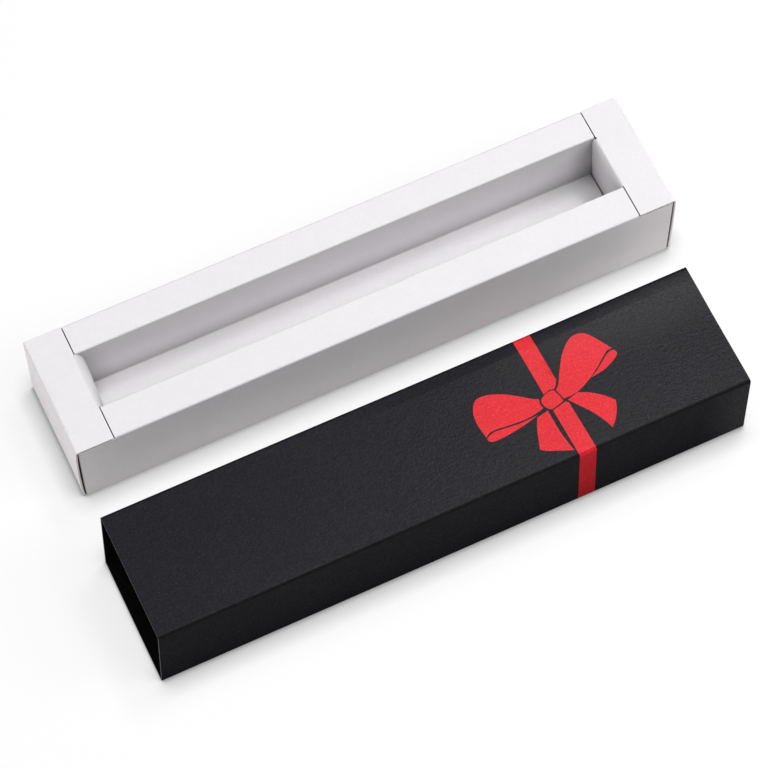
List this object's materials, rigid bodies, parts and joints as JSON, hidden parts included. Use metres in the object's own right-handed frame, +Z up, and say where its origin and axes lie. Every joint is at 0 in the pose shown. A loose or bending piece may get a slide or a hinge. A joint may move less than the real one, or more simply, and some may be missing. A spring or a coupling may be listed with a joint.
{
  "type": "pen box",
  "caption": "Folded paperboard pen box: a white tray with a long pen well and tuck-in ends that unfold, and a black slip-off sleeve, printed with a ribbon and bow, that folds flat.",
  "frame": {"origin": "middle of the tray's underside, on the surface that the box stands on", "axes": "+X along the tray to the right, +Y to the back, away from the sleeve that stands in front, +Z up"},
  "size_m": [0.1765, 0.0928, 0.0287],
  "materials": {
    "white_board": "matte",
    "black_board": "matte",
    "glue": "satin"
  },
  "bodies": {
    "tray": {"tray_bottom": "white_board", "front_outer_wall": "white_board", "front_ledge": "white_board", "front_inner_wall": "white_board", "well_floor": "white_board", "back_inner_wall": "white_board", "back_ledge": "white_board", "back_outer_wall": "white_board", "front_left_tab": "white_board", "front_right_tab": "white_board", "back_left_tab": "white_board", "back_right_tab": "white_board", "tray_glue_flap": "white_board", "tray_glue_line": "glue"},
    "left_end_wall": {"left_end_wall": "white_board"},
    "left_end_ledge": {"left_end_ledge": "white_board"},
    "left_tuck_flap": {"left_tuck_flap": "white_board"},
    "right_end_wall": {"right_end_wall": "white_board"},
    "right_end_ledge": {"right_end_ledge": "white_board"},
    "right_tuck_flap": {"right_tuck_flap": "white_board"},
    "sleeve_base": {"sleeve_bottom": "black_board", "sleeve_glue_flap": "black_board", "sleeve_glue_line": "glue"},
    "sleeve_front": {"sleeve_front": "black_board"},
    "sleeve_top": {"sleeve_top": "black_board"},
    "sleeve_back": {"sleeve_back": "black_board"}
  },
  "joints": [
    {"name": "sleeve_slide", "type": "slide", "parent": "tray", "child": "sleeve_base", "axis": [1, 0, 0], "range_m": [-0.16805, 0.17645]},
    {"name": "left_wall_fold", "type": "hinge", "parent": "tray", "child": "left_end_wall", "pos_m": [-0.0875, 0, 0], "axis": [0, -1, 0], "range_deg": [0, 85]},
    {"name": "left_ledge_fold", "type": "hinge", "parent": "left_end_wall", "child": "left_end_ledge", "pos_m": [-0.0875, 0, 0.0269], "axis": [0, -1, 0], "range_deg": [0, 90]},
    {"name": "left_flap_fold", "type": "hinge", "parent": "left_end_ledge", "child": "left_tuck_flap", "pos_m": [-0.0768, 0, 0.0269], "axis": [0, -1, 0], "range_deg": [0, 80]},
    {"name": "right_wall_fold", "type": "hinge", "parent": "tray", "child": "right_end_wall", "pos_m": [0.0875, 0, 0], "axis": [0, 1, 0], "range_deg": [0, 85]},
    {"name": "right_ledge_fold", "type": "hinge", "parent": "right_end_wall", "child": "right_end_ledge", "pos_m": [0.0875, 0, 0.0269], "axis": [0, 1, 0], "range_deg": [0, 90]},
    {"name": "right_flap_fold", "type": "hinge", "parent": "right_end_ledge", "child": "right_tuck_flap", "pos_m": [0.0768, 0, 0.0269], "axis": [0, 1, 0], "range_deg": [0, 90]},
    {"name": "sleeve_fold", "type": "hinge", "parent": "sleeve_base", "child": "sleeve_front", "pos_m": [-0.0042, -0.0749, 0], "axis": [1, 0, 0], "range_deg": [0, 89]},
    {"name": "sleeve_top_fold", "type": "hinge", "parent": "sleeve_front", "child": "sleeve_top", "pos_m": [-0.0042, -0.07445, 0.02765], "axis": [1, 0, 0], "range_deg": [-89, 0]},
    {"name": "sleeve_back_fold", "type": "hinge", "parent": "sleeve_top", "child": "sleeve_back", "pos_m": [-0.0042, -0.0376, 0.02865], "axis": [1, 0, 0], "range_deg": [0, 89]}
  ],
  "couplings": [
    {"joint": "sleeve_top_fold", "follows": "sleeve_fold", "ratio": -1},
    {"joint": "sleeve_back_fold", "follows": "sleeve_fold", "ratio": 1}
  ]
}
